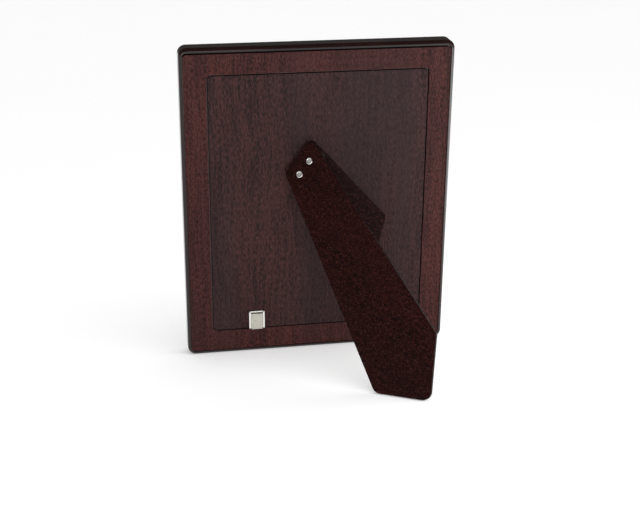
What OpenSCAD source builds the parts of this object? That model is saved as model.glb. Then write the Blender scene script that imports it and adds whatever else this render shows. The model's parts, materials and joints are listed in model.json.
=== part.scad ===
// Standing picture frame for a 203 x 254 mm (8 x 10 in) print, with a diagonal two-way easel leg.
//
// Every module draws its piece upright: X to the right seen from the front, Y towards the back,
// Z up, with Y = 0 on the back face of the rear plate and Z = 0 on the bottom face of the
// moulding, whose rim stands a little further back. stand() then leans the whole frame back on
// its rear bottom edge, onto Z = 0.

/* [Moulding] */
// Outside width of the moulding
frame_w = 258; // [254:1:300]
// Outside height of the moulding
frame_h = 308; // [304:1:350]
// Depth of the moulding from front to back
frame_d = 20; // [18:0.5:28]
// Corner radius of the moulding seen from the front
frame_corner_r = 8; // [5:0.5:12]
// Radius along the outer front and back edges
frame_edge_r = 3.5; // [2.5:0.5:4.5]
// Width of the sight opening
sight_w = 193; // [170:1:197]
// Height of the sight opening
sight_h = 244; // [220:1:248]
// Width and depth of the bevel around the sight opening
sight_bevel = 5; // [2:0.5:8]

/* [Picture stack] */
// Width of the glass, the print and the filler card
print_w = 203.2; // [200:0.1:206]
// Height of the glass, the print and the filler card
print_h = 254; // [250:0.1:257]
// Thickness of the glass
glass_t = 2; // [1.5:0.1:3]
// Thickness of the print
print_t = 0.3; // [0.2:0.1:0.5]
// Thickness of the filler card
filler_t = 2.3; // [2:0.1:3]

/* [Rear plate and back panel] */
// Thickness of the rear plate and of the back panel
plate_t = 3; // [2.5:0.1:4]
// Width of the back panel
panel_w = 207; // [206:0.5:214]
// Height of the back panel
panel_h = 256; // [256:0.5:262]
// Open seam between the panel and the rear plate
seam = 1; // [0.8:0.1:1.5]
// Corner radius of the panel and of the rear plate
plate_corner_r = 3.5; // [2:0.5:6]
// How far the rear plate lies below the moulding's rim
plate_step = 0.6; // [0:0.1:1]
// Open gap above the rear plate
plate_gap = 2.6; // [0.5:0.1:3]

/* [Catches] */
// Distance of each catch from the middle of the frame
catch_x = 60.5; // [40:0.5:80]
// Width of a catch case
catch_w = 15.6; // [14:0.2:20]
// Height of a catch case
catch_h = 17.6; // [17:0.2:24]
// Travel of a catch slide
catch_travel = 3; // [2:0.1:3.2]

/* [Easel leg] */
// Angle that the frame leans back
lean = 7.4; // [4:0.1:12]
// Angle between the leg and the panel when open
leg_open = 42; // [36:0.5:46]
// Turn of the hinge line away from horizontal
hinge_turn = 54; // [48:0.5:60]
// Middle of the hinge line, to the right of the frame's middle seen from the front
hinge_x = 15.6; // [10:0.1:20]
// Middle of the hinge line above the frame's bottom
hinge_z = 200.1; // [190:0.1:210]
// Width of the leg at its top
leg_top_w = 41; // [38:0.5:44]
// Angle between the leg's inner long edge and square to the hinge
leg_inner_splay = 16.3; // [14:0.1:18]
// Angle between the leg's outer long edge and square to the hinge
leg_outer_splay = 26.6; // [24:0.1:29]
// Distance from the frame's middle to the sideways foot, folded
side_foot_x = 126.4; // [120:0.1:132]
// Thickness of the leg board
leg_t = 3.5; // [3:0.1:4.5]
// Thickness of the base plate under the leg
base_t = 2.5; // [2:0.1:3.5]
// Gap between base plate and folded leg
hinge_gap = 2.8; // [2.6:0.1:3.2]

/* [Hidden] */
$fn = 48;

// Layers of the picture stack, from the back face forwards
panel_front = -plate_t;
filler_back = panel_front - 0.1;
filler_front = filler_back - filler_t;
print_front = filler_front - print_t;
glass_front = print_front - glass_t;
frame_front = plate_step - frame_d;
stack_clearance = 0.6;
cavity_w = print_w + 2 * stack_clearance;
cavity_h = print_h + 2 * stack_clearance;

// Recess for the rear plate, which rests on the recess's lower wall
mid_z = frame_h / 2;
recess_w = frame_w - 2 * frame_edge_r;
recess_h = frame_h - 2 * frame_edge_r;
recess_gap = 0.15;
plate_w = recess_w - 2 * recess_gap;
plate_h = recess_h - recess_gap - plate_gap;
plate_z = frame_edge_r + recess_gap + plate_h / 2;

// Panel, a little off the middle of the moulding, and the window for it
panel_x = -0.5;
panel_z = mid_z - 0.5;
panel_bottom = panel_z - panel_h / 2;
panel_top = panel_z + panel_h / 2;
window_w = panel_w + 2 * seam;
window_h = panel_h + 2 * seam;

// Rebate for the glass, the print and the card
cavity_bottom = mid_z - cavity_h / 2;
cavity_top = mid_z + cavity_h / 2;

// Corner nails: V-shaped plates driven across each mitre from the back
nail_leg = 6;
nail_t = 0.8;
nail_depth = 8;
nail_inset = 13;

// Nails into the panel stop short of its back face
nail_bite = 2.2;
nail_shank_r = 0.8;
nail_head_r = 2;
nail_head_t = 0.5;

// Tongues that hold the top of the panel behind the rear plate
tongue_x = 62;
tongue_w = 20;
tongue_t = 0.8;
tongue_h = 18;
tongue_reach = 6;
tongue_room = 1;
tongue_bottom = panel_top + tongue_reach - tongue_h;
tongue_nail_spacing = 10;
tongue_nail_z = panel_top - 7;

// Catch case, folded from sheet
sheet_t = 0.6;
lip_w = 1.7;
lip_t = 0.5;
top_wall_y = 1.0;
case_bottom = panel_bottom + 0.5;
case_top = case_bottom + catch_h;
case_lip_y = 2.3;
case_depth = case_lip_y + lip_t;

// Catch slide: a plate under the case's lips, with a raised face between them
slide_w = catch_w - 2 * sheet_t - 0.6;
slide_face_w = catch_w - 2 * lip_w - 1.2;
slide_y = 1.4;
slide_t = 0.6;
slide_face_t = 0.5;
slide_top = panel_bottom + 15.8;
ridge_h = 0.9;
ridge_y = 2.9;

// Web and latch under the slide
web_t = 0.5;
web_w = 9.6;
web_z = panel_bottom - seam / 2;
latch_reach = 2.4;
latch_t = 0.6;
latch_y = panel_front - 0.3 - latch_t;
latch_tip = web_z - web_t / 2 - latch_reach;
notch_w = web_w + 1.2;
notch_h = catch_travel + 0.9;

// Catch spring and nails
spring_wire_r = 0.25;
spring_r = 4.6;
spring_z = 10.5;
catch_nail_r = 0.6;
catch_nail_head_r = 1.3;
catch_nail_head_t = 0.4;
catch_nail_z = 7;
catch_nail_spacing = 7;

// Hinge, in its own frame: X along the pin, Y towards the back, Z up the folded leg
fold_half = hinge_gap / 2;
hinge_y = base_t + fold_half;
barrel_r = 1.1;
pin_r = 0.55;
run_clearance = 0.05;
leaf_t = 0.5;
leaf_len = 17;
leaf_x0 = -14.5;
leaf_x1 = 17.5;
leaf_relief = 1.6;
knuckles = 5;
knuckle_gap = 0.25;
knuckle_pitch = (leaf_x1 - leaf_x0) / knuckles;

// The leg's square top edge lands on the base plate and stops the opening
leg_stop = fold_half * (1 + cos(leg_open)) / sin(leg_open) - 0.08;

// Rivets through the leg, and screws through the base plate
rivet_x = [-3.5, 12.2];
rivet_z = -8.8;
rivet_r = 1.5;
rivet_head_r = 3.3;
rivet_head_t = 0.8;
rivet_tail_r = 2.3;
rivet_tail_t = 0.45;
screw_x = [-9, 5];
screw_z = -13.2;
screw_r = 1.2;
screw_head_r = 2.5;
screw_head_t = 0.45;
screw_bite = 2.2;
hole_gap = 0.1;

// Settling of the leaned frame on its rounded rear bottom edge
settle_z = frame_edge_r * (1 - cos(lean)) - (frame_edge_r - plate_step) * sin(lean);

// Where two lines meet, each through a point and along a direction
function meet(p, a, q, b) =
    let (k = ((q[0] - p[0]) * b[1] - (q[1] - p[1]) * b[0]) / (a[0] * b[1] - a[1] * b[0]))
    p + k * a;

// A point of the upright frame's back, in the hinge's own frame
function in_hinge(x, z) =
    let (dx = x - hinge_x, dz = z - hinge_z)
    [dx * cos(hinge_turn) - dz * sin(hinge_turn), dx * sin(hinge_turn) + dz * cos(hinge_turn)];

// Corner arc of a polygon between its neighbours
function corner_arc(before, at, after, r, steps = 8) =
    let (
        u = (before - at) / norm(before - at),
        v = (after - at) / norm(after - at),
        half = acos(u * v) / 2,
        centre = at + (u + v) / norm(u + v) * r / sin(half),
        start = at + u * r / tan(half) - centre,
        stop = at + v * r / tan(half) - centre,
        a0 = atan2(start[1], start[0]),
        turn = (atan2(stop[1], stop[0]) - a0 + 540) % 360 - 180
    )
    [for (i = [0 : steps]) centre + r * [cos(a0 + turn * i / steps), sin(a0 + turn * i / steps)]];

// Polygon with every corner rounded to its own radius
function rounded(points, radii) =
    let (n = len(points))
    [for (i = [0 : n - 1])
        each corner_arc(points[(i + n - 1) % n], points[i], points[(i + 1) % n], radii[i])];

// Where a point (x, z) of the open leg, at depth y in its thickness, lies in the upright frame,
// and its height above the table and distance back once the frame leans
function open_y(z, y) = hinge_y + y * cos(leg_open) - z * sin(leg_open);
function open_z(x, z, y) =
    hinge_z - x * sin(hinge_turn) + (y * sin(leg_open) + z * cos(leg_open)) * cos(hinge_turn);
function leg_up(x, z, y) = open_z(x, z, y) * cos(lean) - open_y(z, y) * sin(lean) + settle_z;
function leg_back(x, z, y) = open_y(z, y) * cos(lean) + open_z(x, z, y) * sin(lean);

// The upright foot: the line of the leg's inner face that lies on the table when open
foot_rise_x = leg_up(1, 0, fold_half) - leg_up(0, 0, fold_half);
foot_rise_z = leg_up(0, 1, fold_half) - leg_up(0, 0, fold_half);
foot_point = [0, -leg_up(0, 0, fold_half) / foot_rise_z];
foot_dir = [foot_rise_z, -foot_rise_x];

// Outlines of the leg and of its base plate, in the hinge's own frame
leg_top_outer = [leg_top_w / 2, leg_stop];
leg_top_inner = [-leg_top_w / 2, leg_stop];
inner_dir = [sin(leg_inner_splay), -cos(leg_inner_splay)];
outer_dir = [sin(leg_outer_splay), -cos(leg_outer_splay)];
side_foot_turn = 1.9;
side_dir = [-sin(hinge_turn + side_foot_turn), cos(hinge_turn + side_foot_turn)];
side_point = in_hinge(-side_foot_x, 16);
leg_outline = rounded([
    leg_top_outer,
    leg_top_inner,
    meet(leg_top_inner, inner_dir, side_point, side_dir),
    meet(foot_point, foot_dir, side_point, side_dir),
    meet(leg_top_outer, outer_dir, foot_point, foot_dir)
], [2.5, 5, 5, 8, 8]);

base_top = leg_stop + 0.2;
base_inner_splay = 12;
base_inner_len = 110;
base_end_len = 30;
base_end_dir = [cos(22), -sin(22)];
base_foot_dir = [cos(hinge_turn), sin(hinge_turn)];
base_inner_dir = [sin(base_inner_splay), -cos(base_inner_splay)];
base_inner_corner = [-leg_top_w / 2, base_top] + base_inner_len * base_inner_dir;
base_end_corner = base_inner_corner + base_end_len * base_end_dir;
base_outline = rounded([
    [leg_top_w / 2, base_top],
    [-leg_top_w / 2, base_top],
    base_inner_corner,
    base_end_corner,
    meet(base_end_corner, base_foot_dir, [leg_top_w / 2, base_top], outer_dir)
], [2.5, 5, 4, 4, 4]);

// Middle of the whole object from front to back, moved onto the origin
reach_back = max([for (p = leg_outline) leg_back(p[0], p[1], fold_half + leg_t)]);
reach_front = (frame_front + frame_edge_r) * cos(lean) + frame_edge_r * sin(lean) - frame_edge_r;
shift_y = -(reach_back + reach_front) / 2;

// ---- placing ---------------------------------------------------------------------------------

// Leans the upright frame back and stands it on the table
module stand() {
    translate([0, shift_y, settle_z]) rotate([-lean, 0, 0]) children();
}

// Thickens an outline in X and Z between two depths
module slab(from_y, to_y) {
    translate([0, to_y, 0]) rotate([90, 0, 0]) linear_extrude(to_y - from_y) children();
}

// Round bar along Y
module bar_y(x, z, from_y, to_y, r) {
    translate([x, from_y, z]) rotate([-90, 0, 0]) cylinder(h = to_y - from_y, r = r);
}

// The hinge's own frame, with the leg turned open by an angle
module at_hinge(open = 0) {
    translate([hinge_x, hinge_y, hinge_z]) rotate([0, hinge_turn, 0]) rotate([open, 0, 0]) children();
}

// Rectangle with round corners around its middle
module round_rect(w, h, r) {
    square([w - 2 * r, h], center = true);
    square([w, h - 2 * r], center = true);
    for (x = [-1, 1], z = [-1, 1])
        translate([x * (w / 2 - r), z * (h / 2 - r)]) circle(r);
}

// ---- moulding --------------------------------------------------------------------------------

// Half of the moulding's section where its outline turns a corner
module corner_section() {
    square([frame_corner_r - frame_edge_r, frame_d]);
    translate([0, frame_edge_r]) square([frame_corner_r, frame_d - 2 * frame_edge_r]);
    for (y = [frame_edge_r, frame_d - frame_edge_r])
        translate([frame_corner_r - frame_edge_r, y]) circle(frame_edge_r);
}

// The whole moulding as one rounded block, before it is hollowed and mitred
module moulding_block() {
    corner_x = frame_w / 2 - frame_corner_r;
    corner_z = frame_h / 2 - frame_corner_r;
    mid_y = (frame_front + plate_step) / 2;
    translate([0, mid_y, mid_z - corner_z])
        linear_extrude(2 * corner_z) round_rect(frame_w, frame_d, frame_edge_r);
    translate([-corner_x, mid_y, mid_z]) rotate([90, 0, 90])
        linear_extrude(2 * corner_x) round_rect(frame_d, frame_h, frame_edge_r);
    for (x = [-corner_x, corner_x], z = [mid_z - corner_z, mid_z + corner_z])
        translate([x, plate_step, z]) rotate([90, 0, 0]) rotate_extrude() corner_section();
}

// The four V-shaped corner nails, one leg of each V in each rail
module corner_nail_set() {
    for (x = [-1, 1], z = [-1, 1])
        slab(panel_front - nail_depth, panel_front)
            translate([x * (frame_w / 2 - nail_inset), mid_z + z * (frame_h / 2 - nail_inset)])
                mirror([x < 0 ? 1 : 0, 0]) mirror([0, z < 0 ? 1 : 0])
                    translate([-nail_leg, -nail_leg]) {
                        translate([0, nail_leg - nail_t]) square([nail_leg, nail_t]);
                        translate([nail_leg - nail_t, 0]) square([nail_t, nail_leg]);
                    }
}

// Room in the rails for the panel's tongues and for the latches of the catches
module latch_pockets() {
    for (x = [-tongue_x, tongue_x])
        translate([x - tongue_w / 2 - tongue_room, filler_front, cavity_top - 1])
            cube([tongue_w + 2 * tongue_room, filler_t + 1, tongue_reach + 3]);
    for (x = [-catch_x, catch_x])
        translate([x - notch_w / 2, filler_front, latch_tip - 0.6])
            cube([notch_w, filler_t + 1, cavity_bottom - latch_tip + 1.6]);
}

// Everything that is cut out of the moulding, apart from the bevel
module moulding_hollows() {
    translate([0, 0, mid_z]) {
        slab(panel_front, plate_step + 1) round_rect(recess_w, recess_h, plate_corner_r);
        slab(glass_front, panel_front + 0.5) square([cavity_w, cavity_h], center = true);
        slab(frame_front - 1, 0) square([sight_w, sight_h], center = true);
    }
    latch_pockets();
    corner_nail_set();
}

// One rail, lying on the side that angle turns to: 0 is the right, 90 the top
module rail(angle) {
    upright = angle % 180 == 0;
    w = upright ? frame_w : frame_h;
    h = upright ? frame_h : frame_w;
    sight = upright ? sight_w : sight_h;
    difference() {
        intersection() {
            moulding_block();
            translate([0, 0, mid_z]) rotate([0, -angle, 0]) mitre_wedge(w, h);
        }
        moulding_hollows();
        translate([0, 0, mid_z]) rotate([0, -angle, 0]) sight_bevel_cut(sight / 2, h);
    }
}

// Wedge that holds one rail of a frame w wide across the rail and h long along it
module mitre_wedge(w, h) {
    slab(frame_front - 1, plate_step + 1)
        polygon([[w / 2 - h / 2, 0], [w / 2 + 1, h / 2 + 1], [w / 2 + 1, -h / 2 - 1]]);
}

// Bevel along one side of the sight opening, which widens towards the front
module sight_bevel_cut(edge_x, length) {
    translate([0, 0, -length / 2]) linear_extrude(length) polygon([
        [edge_x - 1, frame_front - 1],
        [edge_x + sight_bevel + 1, frame_front - 1],
        [edge_x, frame_front + sight_bevel],
        [edge_x - 1, frame_front + sight_bevel]
    ]);
}

module rail_right() { color("#17110f") stand() rail(0); }
module rail_top() { color("#17110f") stand() rail(90); }
module rail_left() { color("#17110f") stand() rail(180); }
module rail_bottom() { color("#17110f") stand() rail(270); }
module corner_nails() { color("silver") stand() corner_nail_set(); }

// ---- picture stack ---------------------------------------------------------------------------

// One sheet of the stack
module stack_sheet(from_y, to_y) {
    translate([0, 0, mid_z]) slab(from_y, to_y) square([print_w, print_h], center = true);
}

module glass_pane() { color("lightcyan", 0.35) stand() stack_sheet(glass_front, print_front); }
module print_sheet() { color("whitesmoke") stand() stack_sheet(print_front, filler_front); }

// Card behind the print, notched around the tongues and the latches
module filler_card() {
    notch_top = web_z + catch_travel + web_t + 1;
    color("tan") stand() difference() {
        stack_sheet(filler_front, filler_back);
        for (x = [-tongue_x, tongue_x])
            translate([x - tongue_w / 2 - tongue_room, filler_front - 1, tongue_bottom - 1])
                cube([tongue_w + 2 * tongue_room, filler_t + 2, print_h]);
        for (x = [-catch_x, catch_x])
            translate([x - notch_w / 2, filler_front - 1, notch_top - print_h])
                cube([notch_w, filler_t + 2, print_h]);
    }
}

// ---- rear plate and back panel ---------------------------------------------------------------

// Veneered plate around the panel, let into the back of the moulding
module rear_plate() {
    color("#4a2a2a") stand() slab(panel_front, 0) difference() {
        translate([0, plate_z]) round_rect(plate_w, plate_h, plate_corner_r);
        translate([panel_x, panel_z]) round_rect(window_w, window_h, plate_corner_r + seam);
    }
}

// Veneered panel that closes the back, with a notch for each catch
module back_panel() {
    color("#3b2b2b") stand() difference() {
        translate([panel_x, 0, panel_z]) slab(panel_front, 0) round_rect(panel_w, panel_h, plate_corner_r);
        for (x = [-catch_x, catch_x]) {
            translate([x - notch_w / 2, panel_front - 1, panel_bottom - 1])
                cube([notch_w, plate_t + 2, notch_h + 1]);
            catch_nail_pair(x, hole_gap);
        }
        tongue_nail_set(hole_gap);
        at_hinge() base_screw_pair(hole_gap);
    }
}

// The two steel tongues on the panel's inner face, which slip behind the rear plate
module panel_tongues() {
    color("silver") stand() difference() {
        for (x = [-tongue_x, tongue_x])
            translate([x - tongue_w / 2, panel_front - tongue_t, tongue_bottom])
                cube([tongue_w, tongue_t, tongue_h]);
        tongue_nail_set(hole_gap);
    }
}

// Two nails through each tongue, or the holes for them
module tongue_nail_set(gap = 0) {
    for (x = [-tongue_x, tongue_x], dx = [-0.5, 0.5] * tongue_nail_spacing)
        bar_y(x + dx, tongue_nail_z, panel_front - tongue_t, panel_front + nail_bite, nail_shank_r + gap);
}

module tongue_nails() {
    color("silver") stand() {
        tongue_nail_set();
        for (x = [-tongue_x, tongue_x], dx = [-0.5, 0.5] * tongue_nail_spacing)
            bar_y(x + dx, tongue_nail_z, panel_front - tongue_t - nail_head_t,
                panel_front - tongue_t, nail_head_r);
    }
}

// ---- catches ---------------------------------------------------------------------------------

// Folded sheet case around the middle of one catch
module catch_case(x) {
    translate([x, 0, 0]) {
        translate([-catch_w / 2, 0, case_bottom]) cube([catch_w, sheet_t, catch_h]);
        for (side = [0, 1]) mirror([side, 0, 0]) {
            translate([catch_w / 2 - sheet_t, 0, case_bottom]) cube([sheet_t, case_depth, catch_h]);
            translate([catch_w / 2 - lip_w, case_lip_y, case_bottom]) cube([lip_w, lip_t, catch_h]);
        }
        translate([-catch_w / 2, 0, case_top - sheet_t]) cube([catch_w, top_wall_y, sheet_t]);
    }
}

// The case with its nail holes and the notch that the slide's web runs in
module cut_catch_case(x) {
    color("gainsboro") stand() difference() {
        catch_case(x);
        translate([x - notch_w / 2, -1, case_bottom - 1])
            cube([notch_w, sheet_t + 1.2, panel_bottom + notch_h - case_bottom + 1]);
        catch_nail_pair(x, hole_gap);
    }
}

module catch_case_left() { cut_catch_case(-catch_x); }
module catch_case_right() { cut_catch_case(catch_x); }

// Slide with a finger ridge; its web drops through the seam to the latch behind the rear plate
module catch_slide(x) {
    slide_bottom = web_z - web_t / 2;
    color("silver") stand() translate([x, 0, 0]) {
        translate([-slide_w / 2, slide_y, case_bottom])
            cube([slide_w, slide_t, slide_top - case_bottom]);
        translate([-slide_face_w / 2, slide_y, slide_bottom])
            cube([slide_face_w, slide_t + slide_face_t, slide_top - slide_bottom]);
        translate([-slide_face_w / 2, slide_y, slide_top - ridge_h])
            cube([slide_face_w, ridge_y - slide_y, ridge_h]);
        translate([-web_w / 2, latch_y, slide_bottom]) cube([web_w, slide_y - latch_y + 0.1, web_t]);
        translate([-web_w / 2, latch_y, latch_tip]) cube([web_w, latch_t, slide_bottom - latch_tip + web_t]);
    }
}

module catch_slide_left() { catch_slide(-catch_x); }
module catch_slide_right() { catch_slide(catch_x); }

// Bowed wire behind the slide
module catch_spring(x) {
    color("darkgray") stand() translate([x, sheet_t + spring_wire_r, panel_bottom + spring_z])
        rotate([90, 0, 0]) rotate_extrude(angle = 180) translate([spring_r, 0]) circle(spring_wire_r, $fn = 24);
}

module catch_spring_left() { catch_spring(-catch_x); }
module catch_spring_right() { catch_spring(catch_x); }

// Two nails through one case into the panel, or the holes for them
module catch_nail_pair(x, gap = 0) {
    for (dx = [-0.5, 0.5] * catch_nail_spacing)
        bar_y(x + dx, panel_bottom + catch_nail_z, -nail_bite, sheet_t, catch_nail_r + gap);
}

module catch_nails() {
    color("silver") stand() for (x = [-catch_x, catch_x]) {
        catch_nail_pair(x);
        for (dx = [-0.5, 0.5] * catch_nail_spacing)
            bar_y(x + dx, panel_bottom + catch_nail_z, sheet_t, sheet_t + catch_nail_head_t, catch_nail_head_r);
    }
}

// ---- easel leg -------------------------------------------------------------------------------

// Base plate glued and screwed to the panel under the leg
module leg_base() {
    color("#1c0d0d") stand() at_hinge() difference() {
        slab(-fold_half - base_t, -fold_half) polygon(base_outline);
        base_screw_pair(hole_gap);
    }
}

// The leg board: a long blade with one foot for each way the frame can stand
module leg() {
    color("#2a1414") stand() at_hinge(leg_open) difference() {
        slab(fold_half, fold_half + leg_t) polygon(leg_outline);
        rivet_pair(hole_gap);
    }
}

// One leaf of the hinge: a flat plate on the -Y side, and every second knuckle from first on
module hinge_leaf(first, bore_r) {
    difference() {
        union() {
            translate([leaf_x0, -fold_half, -leaf_len])
                cube([leaf_x1 - leaf_x0, leaf_t, leaf_len - leaf_relief]);
            for (i = [first : 2 : knuckles - 1])
                translate([leaf_x0 + i * knuckle_pitch + knuckle_gap / 2, 0, 0]) {
                    translate([0, -fold_half, -leaf_len])
                        cube([knuckle_pitch - knuckle_gap, leaf_t, leaf_len + pin_r]);
                    rotate([0, 90, 0]) cylinder(h = knuckle_pitch - knuckle_gap, r = barrel_r);
                }
        }
        translate([leaf_x0 - 1, 0, 0]) rotate([0, 90, 0])
            cylinder(h = leaf_x1 - leaf_x0 + 2, r = bore_r);
    }
}

module hinge_leaf_base() {
    color("dimgray") stand() at_hinge() difference() {
        hinge_leaf(0, pin_r);
        base_screw_pair(hole_gap);
    }
}

module hinge_leaf_leg() {
    color("dimgray") stand() at_hinge(leg_open) difference() {
        mirror([0, 1, 0]) hinge_leaf(1, pin_r + run_clearance);
        rivet_pair(hole_gap);
    }
}

module hinge_pin() {
    color("gray") stand() at_hinge() translate([leaf_x0, 0, 0]) rotate([0, 90, 0])
        cylinder(h = leaf_x1 - leaf_x0, r = pin_r);
}

// Shanks of the two rivets through the leg and its leaf, or the holes for them
module rivet_pair(gap = 0) {
    for (x = rivet_x) bar_y(x, rivet_z, fold_half - leaf_t, fold_half + leg_t, rivet_r + gap);
}

// Two rivets with a broad dished head outside and a small tail on the leaf
module leg_rivets() {
    dish_r = rivet_head_r - 1.3;
    color("silver") stand() at_hinge(leg_open) {
        rivet_pair();
        for (x = rivet_x) translate([x, fold_half, rivet_z]) rotate([-90, 0, 0]) {
            translate([0, 0, leg_t]) rotate_extrude() polygon([
                [0, 0], [rivet_head_r, 0], [rivet_head_r, rivet_head_t / 2],
                [rivet_head_r - 0.45, rivet_head_t], [dish_r + 0.3, rivet_head_t],
                [dish_r, rivet_head_t - 0.2], [0, rivet_head_t - 0.2]
            ]);
            translate([0, 0, -leaf_t - rivet_tail_t]) cylinder(h = rivet_tail_t, r = rivet_tail_r);
        }
    }
}

// Shanks of the two screws through the leaf and the base plate into the panel, or their holes
module base_screw_pair(gap = 0) {
    for (x = screw_x)
        bar_y(x, screw_z, -fold_half - base_t - screw_bite, -fold_half + leaf_t, screw_r + gap);
}

module base_screws() {
    slot_w = 0.6;
    color("silver") stand() at_hinge() {
        base_screw_pair();
        for (x = screw_x) difference() {
            bar_y(x, screw_z, leaf_t - fold_half, leaf_t - fold_half + screw_head_t, screw_head_r);
            translate([x - slot_w / 2, leaf_t - fold_half + screw_head_t / 2, screw_z - screw_head_r])
                cube([slot_w, 1, 2 * screw_head_r]);
        }
    }
}

rail_top();
rail_bottom();
rail_left();
rail_right();
corner_nails();
glass_pane();
print_sheet();
filler_card();
rear_plate();
back_panel();
panel_tongues();
tongue_nails();
catch_case_left();
catch_case_right();
catch_slide_left();
catch_slide_right();
catch_spring_left();
catch_spring_right();
catch_nails();
leg_base();
hinge_leaf_base();
hinge_pin();
base_screws();
leg();
hinge_leaf_leg();
leg_rivets();
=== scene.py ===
"""Looks of a standing picture frame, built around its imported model.

The frame has a dark lacquered moulding, a veneered rear plate and back panel, two spring catches
and an easel leg on a diagonal hinge.

Pieces are drawn upright in millimetres: X to the right seen from the front, Y towards the back,
Z up, with Y = 0 on the back face of the rear plate and Z = 0 on the bottom face of the moulding.
Stance gives the matrix that leans such a drawing back and puts it on the floor in metres.
"""

import json
import logging
import math
from abc import ABC, abstractmethod
from collections.abc import Callable, Mapping, Sequence
from dataclasses import dataclass, replace
from enum import Enum

import bmesh
import bpy
from bmesh.types import BMEdge, BMesh, BMFace, BMVert
from mathutils import Matrix, Quaternion, Vector


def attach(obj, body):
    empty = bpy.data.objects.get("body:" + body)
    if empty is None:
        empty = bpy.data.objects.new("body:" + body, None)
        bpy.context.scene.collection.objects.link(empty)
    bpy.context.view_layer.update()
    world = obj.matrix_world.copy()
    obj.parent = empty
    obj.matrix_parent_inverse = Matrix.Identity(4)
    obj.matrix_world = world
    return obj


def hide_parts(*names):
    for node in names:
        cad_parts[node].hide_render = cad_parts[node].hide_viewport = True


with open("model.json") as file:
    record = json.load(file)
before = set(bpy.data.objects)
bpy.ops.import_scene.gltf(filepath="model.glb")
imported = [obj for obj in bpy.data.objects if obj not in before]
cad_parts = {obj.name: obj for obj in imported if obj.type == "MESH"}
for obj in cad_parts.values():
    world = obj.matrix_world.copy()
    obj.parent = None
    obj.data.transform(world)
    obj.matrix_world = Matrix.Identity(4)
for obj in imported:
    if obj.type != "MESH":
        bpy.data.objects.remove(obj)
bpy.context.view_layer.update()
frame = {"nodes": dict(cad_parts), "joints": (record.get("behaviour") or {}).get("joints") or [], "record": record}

LOG = logging.getLogger("picture_frame")

Colour = tuple[float, float, float]
Point = tuple[float, float, float]
EdgeTest = Callable[[BMEdge], bool]
FaceTest = Callable[[BMFace], bool]


# ---- where things stand ----------------------------------------------------------------------


@dataclass(frozen=True)
class Stance:
    """How the upright drawing stands on the floor.

    Attributes:
        lean: Angle that the frame leans back, in radians.
        origin: Where the drawing's origin lands, in metres.
        pin: Middle of the hinge line, in metres.
        pin_axis: Direction of the hinge line.
        opening: Angle between the folded and the open leg, in radians.
    """

    lean: float
    origin: Vector
    pin: Vector
    pin_axis: Vector
    opening: float

    MILLIMETRE = 0.001
    BOTTOM_MOUNT_Y = -0.010

    @classmethod
    def from_record(cls, record: Mapping, joints: Sequence[Mapping]) -> "Stance":
        """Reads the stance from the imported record.

        Args:
            record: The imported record.
            joints: The record's joints.

        Returns:
            The stance of the frame with its leg open.
        """
        base = next(m for m in record["mounts"] if m["name"] == "bottom_face")
        down = Vector(base["axis"])
        lean = math.atan2(-down.y, -down.z)
        turn = Matrix.Rotation(-lean, 4, "X")
        origin = Vector(base["pos_m"]) - turn @ Vector((0, cls.BOTTOM_MOUNT_Y, 0))
        fold = next(j for j in joints if j["name"] == "leg_fold")
        opening = math.radians(fold["range_deg"][1])
        return cls(lean, origin, Vector(fold["pos_m"]), -Vector(fold["axis"]), opening)

    def upright(self) -> Matrix:
        """Returns the matrix from the upright drawing to the floor."""
        turn = Matrix.Rotation(-self.lean, 4, "X")
        return Matrix.Translation(self.origin) @ turn @ Matrix.Scale(self.MILLIMETRE, 4)

    def hinge(self, opened: bool) -> Matrix:
        """Gives the hinge's own drawing frame.

        X runs along the pin, Y towards the back and Z up the folded leg.

        Args:
            opened: Whether the frame turns with the open leg.

        Returns:
            The matrix from that drawing to the floor.
        """
        back = Matrix.Rotation(-self.lean, 3, "X") @ Vector((0, 1, 0))
        along = self.pin_axis.normalized()
        up = along.cross(back)
        turn = Matrix((along, back, up)).transposed().to_4x4()
        swing = Matrix.Rotation(self.opening if opened else 0.0, 4, "X")
        return Matrix.Translation(self.pin) @ turn @ swing @ Matrix.Scale(self.MILLIMETRE, 4)


# ---- shader nodes ----------------------------------------------------------------------------


class Value:
    """One socket of a material that takes part in sums."""

    def __init__(self, maker: "NodeMaker", socket: bpy.types.NodeSocket) -> None:
        """Wraps a socket.

        Args:
            maker: The maker whose nodes the sums are added to.
            socket: The output socket.
        """
        self.maker = maker
        self.socket = socket

    def _sum(self, operation: str, first: "Value | float", second: "Value | float") -> "Value":
        """Adds one Math node.

        Args:
            operation: The node's operation.
            first: Its first input.
            second: Its second input.

        Returns:
            The node's result.
        """
        return self.maker.node("ShaderNodeMath", {"operation": operation}, {0: first, 1: second})

    def __add__(self, other: "Value | float") -> "Value":
        """Returns self + other."""
        return self._sum("ADD", self, other)

    def __sub__(self, other: "Value | float") -> "Value":
        """Returns self - other."""
        return self._sum("SUBTRACT", self, other)

    def __rsub__(self, other: float) -> "Value":
        """Returns other - self."""
        return self._sum("SUBTRACT", other, self)

    def __mul__(self, other: "Value | float") -> "Value":
        """Returns self * other."""
        return self._sum("MULTIPLY", self, other)

    def most(self, other: "Value | float") -> "Value":
        """Returns the larger of self and other."""
        return self._sum("MAXIMUM", self, other)

    def step(self, low: float, high: float) -> "Value":
        """Rises smoothly from 0 to 1.

        Args:
            low: Value that gives 0.
            high: Value that gives 1.

        Returns:
            The smooth step.
        """
        return self.maker.node(
            "ShaderNodeMapRange",
            {"interpolation_type": "SMOOTHSTEP"},
            {"Value": self, "From Min": low, "From Max": high},
        )


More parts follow.
